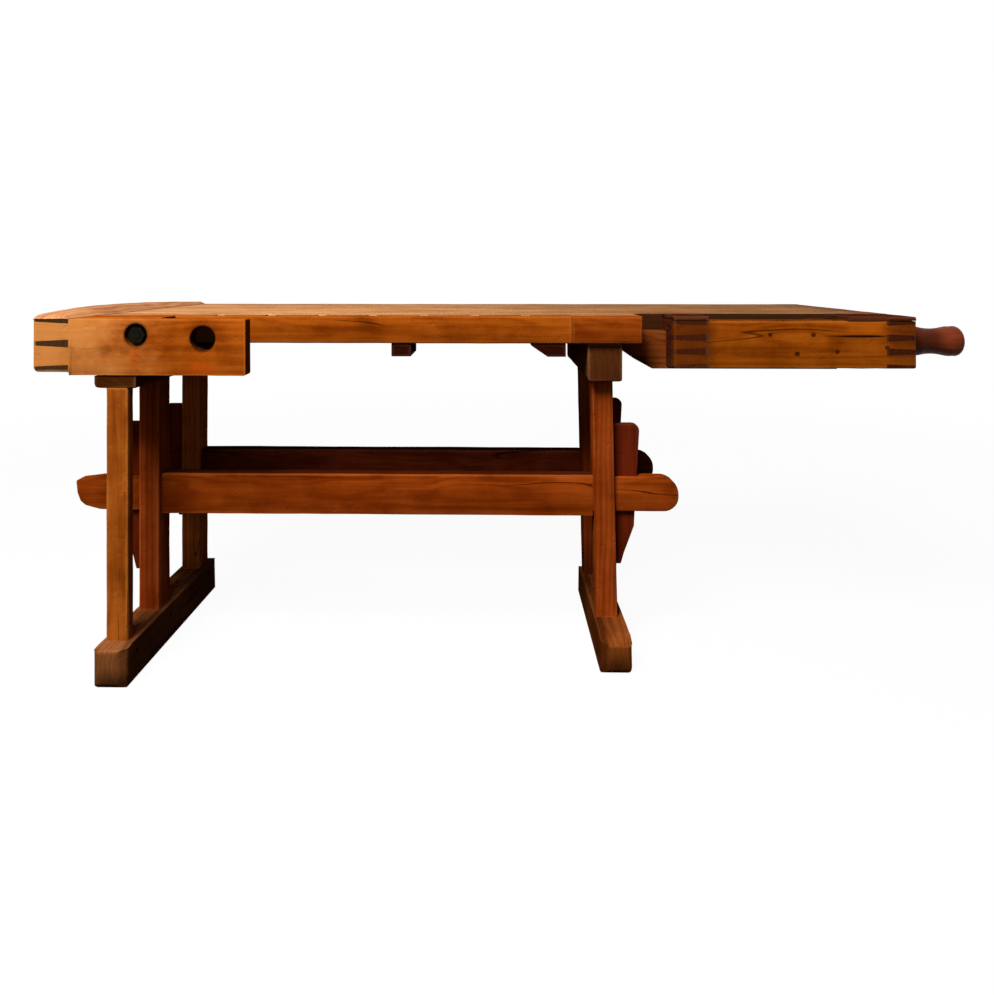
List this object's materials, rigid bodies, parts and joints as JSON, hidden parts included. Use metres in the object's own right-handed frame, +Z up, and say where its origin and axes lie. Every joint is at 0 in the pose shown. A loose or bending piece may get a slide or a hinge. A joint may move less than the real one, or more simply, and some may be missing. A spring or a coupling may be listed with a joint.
{
  "type": "woodworking bench with vises",
  "caption": "Wooden joiner's bench with a plank top, a fixed shoulder-vise arm, a sliding tail vise on a wooden screw, and trestles joined by wedged stretchers.",
  "frame": {"origin": "on the floor, below the middle of the overall length and depth", "axes": "+X to the right towards the tail vise, -Y towards the worker at the front, +Z up"},
  "size_m": [2.1144, 0.845, 0.8083],
  "materials": {
    "top_wood": "oiled",
    "cap_wood": "oiled",
    "arm_wood": "oiled",
    "apron_wood": "oiled",
    "jaw_wood": "oiled",
    "dog_wood": "oiled",
    "vise_wood": "oiled",
    "frame_wood": "oiled",
    "stretcher_wood": "oiled",
    "wedge_wood": "oiled",
    "peg_wood": "oiled",
    "dark_wood": "oiled",
    "screw_wood": "oiled",
    "bolt_iron": "rough",
    "washer_iron": "rough"
  },
  "bodies": {
    "bench": {"left_foot": "frame_wood", "right_foot": "frame_wood", "left_front_post": "frame_wood", "left_middle_post": "frame_wood", "left_back_post": "frame_wood", "right_front_post": "frame_wood", "right_back_post": "frame_wood", "left_bearer": "frame_wood", "right_bearer": "frame_wood", "post_pegs": "peg_wood", "locating_pins": "peg_wood", "front_stretcher": "stretcher_wood", "back_stretcher": "stretcher_wood", "front_apron": "apron_wood", "fixed_jaw": "jaw_wood", "dog_blocks": "dog_wood", "inner_board": "top_wood", "middle_board": "top_wood", "wide_board": "top_wood", "back_board": "top_wood", "left_end_cap": "cap_wood", "right_end_cap": "cap_wood", "shoulder_arm": "arm_wood", "shoulder_filler": "arm_wood", "tie_bolt": "bolt_iron", "tie_bolt_nut": "bolt_iron", "tie_bolt_anchor": "bolt_iron", "tie_bolt_washer": "washer_iron", "cap_bolts": "bolt_iron", "cap_bolt_nuts": "bolt_iron", "left_batten": "dark_wood", "right_batten": "dark_wood", "vise_guide_rail": "dark_wood", "vise_nut_block": "dark_wood"},
    "tail_vise": {"vise_jaw_block": "vise_wood", "vise_front_board": "vise_wood", "vise_dog_blocks": "dog_wood", "vise_liner": "vise_wood", "vise_cover_plate": "vise_wood", "vise_end_block": "vise_wood", "garter_key": "peg_wood"},
    "tail_screw": {"tail_screw": "screw_wood", "screw_handle": "screw_wood"},
    "front_left_wedge": {"front_left_wedge": "wedge_wood"},
    "front_right_wedge": {"front_right_wedge": "wedge_wood"},
    "back_left_wedge": {"back_left_wedge": "wedge_wood"},
    "back_right_wedge": {"back_right_wedge": "wedge_wood"}
  },
  "joints": [
    {"name": "tail_vise_slide", "type": "slide", "parent": "bench", "child": "tail_vise", "axis": [1, 0, 0], "range_m": [-0.07, 0.1]},
    {"name": "tail_screw_turn", "type": "hinge", "parent": "tail_vise", "child": "tail_screw", "pos_m": [0.87875, -0.188, 0.727], "axis": [1, 0, 0], "range_deg": [-2110, 3010]},
    {"name": "front_left_wedge_lift", "type": "slide", "parent": "bench", "child": "front_left_wedge", "axis": [0, 0, 1], "range_m": [0, 0.08]},
    {"name": "front_right_wedge_lift", "type": "slide", "parent": "bench", "child": "front_right_wedge", "axis": [0, 0, 1], "range_m": [0, 0.08]},
    {"name": "back_left_wedge_lift", "type": "slide", "parent": "bench", "child": "back_left_wedge", "axis": [0, 0, 1], "range_m": [0, 0.08]},
    {"name": "back_right_wedge_lift", "type": "slide", "parent": "bench", "child": "back_right_wedge", "axis": [0, 0, 1], "range_m": [0, 0.08]}
  ],
  "couplings": [
    {"joint": "tail_screw_turn", "follows": "tail_vise_slide", "rad_per_m": 523.6}
  ]
}
